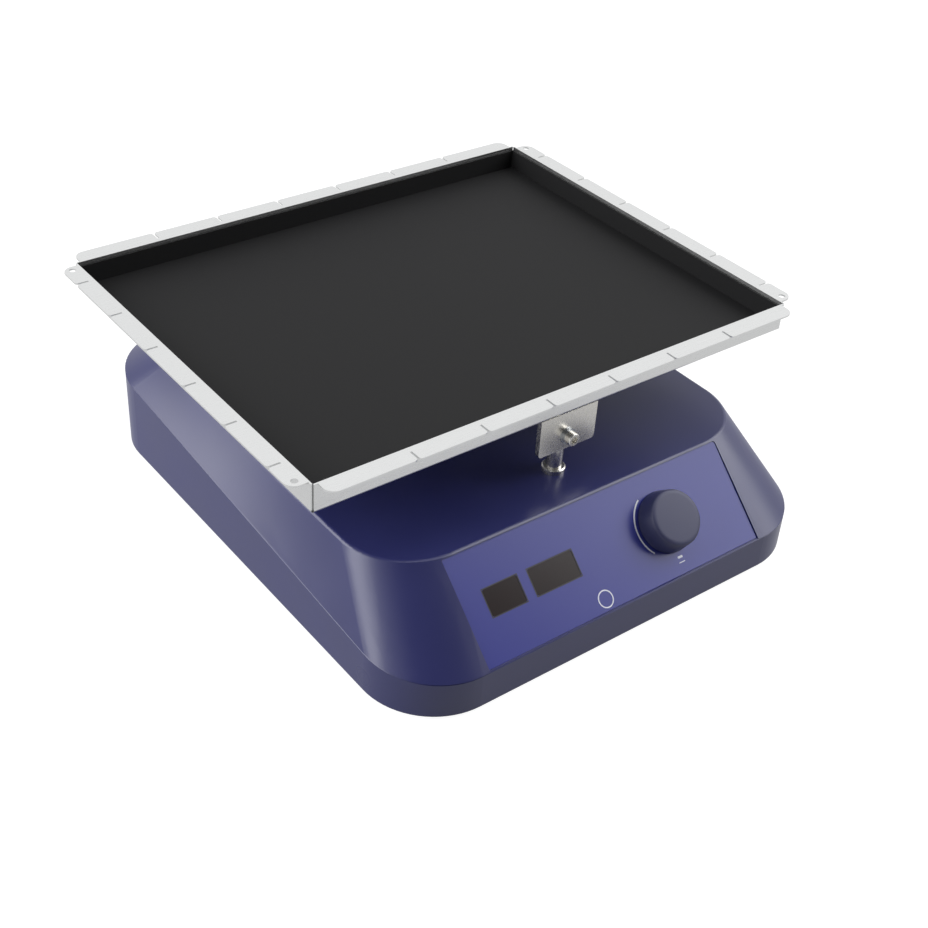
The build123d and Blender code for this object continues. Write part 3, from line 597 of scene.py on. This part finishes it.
# %% [markdown]
# ## Printed marks on the panel
#
# The panel carries white screen print: a long arc round the left of the knob, a sign
# for pushing the knob, and a plain ring low on the panel. Ink is a thin raised film, so
# each mark is a flat solid, five hundredths of a millimetre high, that lies on the
# panel's face. It is drawn flat round the knob's centre in millimetres, with X to the
# right and Y up the slope. Then one matrix lays it on the panel. The height of the
# panel's face is measured on its mesh.

# %% Panel plane and ink
INK_MM = 0.05

panel_mesh = nodes["panel"].data
panel_level = max(v.co.dot(slope_up) for v in panel_mesh.vertices)
panel_sink = panel_level - knob_at.dot(slope_up)
on_panel = knob_at + slope_up * panel_sink
panel_right = Vector((1, 0, 0))
panel_up = slope_up.cross(panel_right)
lay_on_panel = (
    Matrix.Translation(on_panel)
    @ Matrix((panel_right, panel_up, slope_up)).transposed().to_4x4()
    @ Matrix.Scale(MM, 4)
)

ink, tree, output, _ = start_material("white_screen_ink")
skin = add_node(
    tree,
    "ShaderNodeBsdfPrincipled",
    values={"Base Color": colour("#e9ebf5"), "Roughness": 0.5, "IOR": 1.5},
)
tree.links.new(skin.outputs[0], output.inputs["Surface"])
print("panel face is", round(panel_sink / MM, 2), "mm from the slope")

# %% [markdown]
# ## Flat shapes for the ink
#
# Two shapes are enough for the white marks. A ring starts as a circle, whose edge is
# extruded and shrunk inwards, and an arc is a ring without the faces outside its
# angles. A bar is a square, stretched and with its corners bevelled. A third function
# joins such shapes, gives them the thickness of ink and lays them on the panel.

# %% Ring, bar and ink
RING_VERTICES = 180
CORNER_SHARE = 0.2


def start_edit():
    """Go to edit mode with everything selected in the active object."""
    bpy.ops.object.mode_set(mode="EDIT")
    bpy.ops.mesh.select_all(action="SELECT")


def ring(name, at, inner_r, outer_r, start_deg, end_deg):
    """A flat ring or arc, in millimetres, with its turn measured from the X axis."""
    bpy.ops.object.select_all(action="DESELECT")
    bpy.ops.mesh.primitive_circle_add(vertices=RING_VERTICES, radius=outer_r)
    piece = bpy.context.object
    piece.name = name
    start_edit()
    bpy.ops.mesh.extrude_edges_move()
    bpy.ops.transform.resize(value=(inner_r / outer_r,) * 3)
    bpy.ops.mesh.select_mode(type="FACE")
    bpy.ops.mesh.select_all(action="DESELECT")
    mesh = bmesh.from_edit_mesh(piece.data)
    for face in mesh.faces:
        middle = face.calc_center_median()
        turn = math.degrees(math.atan2(middle.y, middle.x)) % 360
        face.select_set(not start_deg <= turn <= end_deg)
    bmesh.update_edit_mesh(piece.data)
    bpy.ops.mesh.delete(type="FACE")
    bpy.ops.mesh.select_all(action="SELECT")
    bpy.ops.transform.translate(value=(*at, 0))
    bpy.ops.object.mode_set(mode="OBJECT")
    return piece


def bar(name, at, width, height):
    """A flat upright rectangle, in millimetres."""
    bpy.ops.object.select_all(action="DESELECT")
    bpy.ops.mesh.primitive_plane_add(size=1)
    piece = bpy.context.object
    piece.name = name
    start_edit()
    bpy.ops.transform.resize(value=(width, height, 1))
    corner = min(width, height) * CORNER_SHARE
    bpy.ops.mesh.bevel(offset=corner, segments=3, affect="VERTICES")
    bpy.ops.mesh.select_all(action="SELECT")
    bpy.ops.transform.translate(value=(*at, 0))
    bpy.ops.object.mode_set(mode="OBJECT")
    return piece


def print_and_shade_mark(name, pieces):
    """Join flat pieces, give them the thickness of ink and lay them on the panel."""
    bpy.ops.object.select_all(action="DESELECT")
    for piece in pieces:
        piece.select_set(True)
    bpy.context.view_layer.objects.active = pieces[0]
    if len(pieces) > 1:
        bpy.ops.object.join()
    mark = bpy.context.object
    mark.name = name
    start_edit()
    bpy.ops.mesh.extrude_region_move(TRANSFORM_OT_translate={"value": (0, 0, INK_MM)})
    bpy.ops.mesh.select_all(action="SELECT")
    bpy.ops.mesh.normals_make_consistent(inside=False)
    bpy.ops.object.mode_set(mode="OBJECT")
    mark.data.transform(lay_on_panel)
    mark.data.materials.clear()
    mark.data.materials.append(ink)
    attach(mark, "base")
    print(name, "has", len(mark.data.polygons), "faces")
    return mark


# %% [markdown]
# ## Knob cap
#
# The knob is the one piece whose outline is drawn again here: it stands on a wide foot,
# narrows towards its face and ends in a shallow crown. The profile lists radii and
# heights over the slope, from the hollow underside round to the face. A filled circle
# is the roof of the hollow. Each step extrudes the last ring and resizes it, and one
# more face closes the top. The finished cap takes the place of the plain solid and
# turns and sinks with the same shaft.

# %% Knob cap
KNOB_PROFILE = [
    (18.0, 12.1),
    (18.0, 0.3),
    (22.2, 0.3),
    (22.6, 0.5),
    (22.6, 1.2),
    (20.55, 13.4),
    (20.1, 14.2),
    (19.2, 14.75),
    (18.0, 15.05),
    (16.6, 15.15),
]
KNOB_VERTICES = 128
CREASE_DEG = 35

bpy.ops.object.select_all(action="DESELECT")
bpy.ops.mesh.primitive_circle_add(
    vertices=KNOB_VERTICES,
    radius=KNOB_PROFILE[0][0],
    fill_type="NGON",
)
cap = bpy.context.object
cap.name = "knob_cap"
start_edit()
bpy.ops.transform.translate(value=(0, 0, KNOB_PROFILE[0][1]))
bpy.ops.mesh.select_mode(type="EDGE")
for (last_r, last_z), (next_r, next_z) in zip(KNOB_PROFILE, KNOB_PROFILE[1:]):
    bpy.ops.mesh.extrude_edges_move()
    bpy.ops.transform.resize(value=(next_r / last_r, next_r / last_r, 1))
    bpy.ops.transform.translate(value=(0, 0, next_z - last_z))
bpy.ops.mesh.edge_face_add()
bpy.ops.mesh.select_all(action="SELECT")
bpy.ops.mesh.normals_make_consistent(inside=False)
bpy.ops.object.mode_set(mode="OBJECT")
from_panel_to_slope = Matrix.Translation(-slope_up * panel_sink)
cap.data.transform(from_panel_to_slope @ lay_on_panel)
bpy.ops.object.shade_smooth_by_angle(angle=math.radians(CREASE_DEG))
cap.data.materials.clear()
cap.data.materials.append(knob_skin)
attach(cap, "knob")
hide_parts("knob")
widest = 2 * max(radius for radius, height in KNOB_PROFILE)
print("knob cap:", len(cap.data.polygons), "faces,", widest, "mm wide")

# %% [markdown]
# ## The marks
#
# The arc lies close round the left half of the knob's foot. Below the knob a short
# block over a line says that the knob is pushed, and further left, low on the panel,
# is a plain ring. Their places are millimetres from the knob's centre.

# %% Knob arc, push sign and ring
ARC_AT = (0.5, 0)
ARC_RADII = (24.9, 26.1)
ARC_DEG = (122, 223)
BLOCK_AT = (0.5, -26.8)
LINE_AT = (0.5, -30.6)
RING_AT = (-71.5, -30.4)
RING_RADII = (5.5, 6.4)

print_and_shade_mark("knob_arc_print", [ring("arc", ARC_AT, *ARC_RADII, *ARC_DEG)])
print_and_shade_mark(
    "push_sign_print",
    [
        bar("bar", BLOCK_AT, width=4.4, height=1.7),
        bar("line", LINE_AT, width=5.4, height=0.6),
    ],
)
print_and_shade_mark("ring_print", [ring("ring", RING_AT, *RING_RADII, 0, 360)])

# %% [markdown]
# ## Painted shade round the windows
#
# A dark band of painted shade rings each window and darkens the light gap round its
# edge. The size and the place of each window are measured on its mesh, as seen in the
# panel's own millimetres. The band is a plane of that size plus a margin, inset once,
# and its middle face is deleted.

# %% Window borders
BORDER_MM = 0.8

# Painted shade: a dark colour laid over the gap round each window, where shade falls.
painted_gap_shade, tree, output, _ = start_material("painted_gap_shade_dark")
skin = add_node(
    tree,
    "ShaderNodeBsdfPrincipled",
    values={"Base Color": colour("#15141d"), "Roughness": 0.5, "IOR": 1.5},
)
tree.links.new(skin.outputs[0], output.inputs["Surface"])
borders = []
for name in ("small_window", "large_window"):
    spots = [lay_on_panel.inverted() @ v.co for v in nodes[name].data.vertices]
    low = Vector((min(p.x for p in spots), min(p.y for p in spots)))
    high = Vector((max(p.x for p in spots), max(p.y for p in spots)))
    middle = (low + high) / 2
    size = high - low
    bpy.ops.object.select_all(action="DESELECT")
    bpy.ops.mesh.primitive_plane_add(size=1)
    piece = bpy.context.object
    start_edit()
    bpy.ops.transform.resize(value=(size.x + 2 * BORDER_MM, size.y + 2 * BORDER_MM, 1))
    bpy.ops.mesh.inset(thickness=BORDER_MM)
    bpy.ops.mesh.delete(type="FACE")
    bpy.ops.mesh.select_all(action="SELECT")
    bpy.ops.transform.translate(value=(middle.x, middle.y, 0))
    bpy.ops.object.mode_set(mode="OBJECT")
    borders.append(piece)
# The bands are painted shade. They get the ink's thickness and are laid on the panel like the print.
border = print_and_shade_mark("window_gap_painted_shade", borders)
border.data.materials[0] = painted_gap_shade

# %% [markdown]
# ## Size of the solids
#
# The added pieces should not make the object larger. The box of the solids, measured
# before any piece was added, is printed.

# %% Sizes and finish
extent = [round(high - low, 4) for low, high in zip(*cad_bounds)]
print("the solids measure", extent, "m")
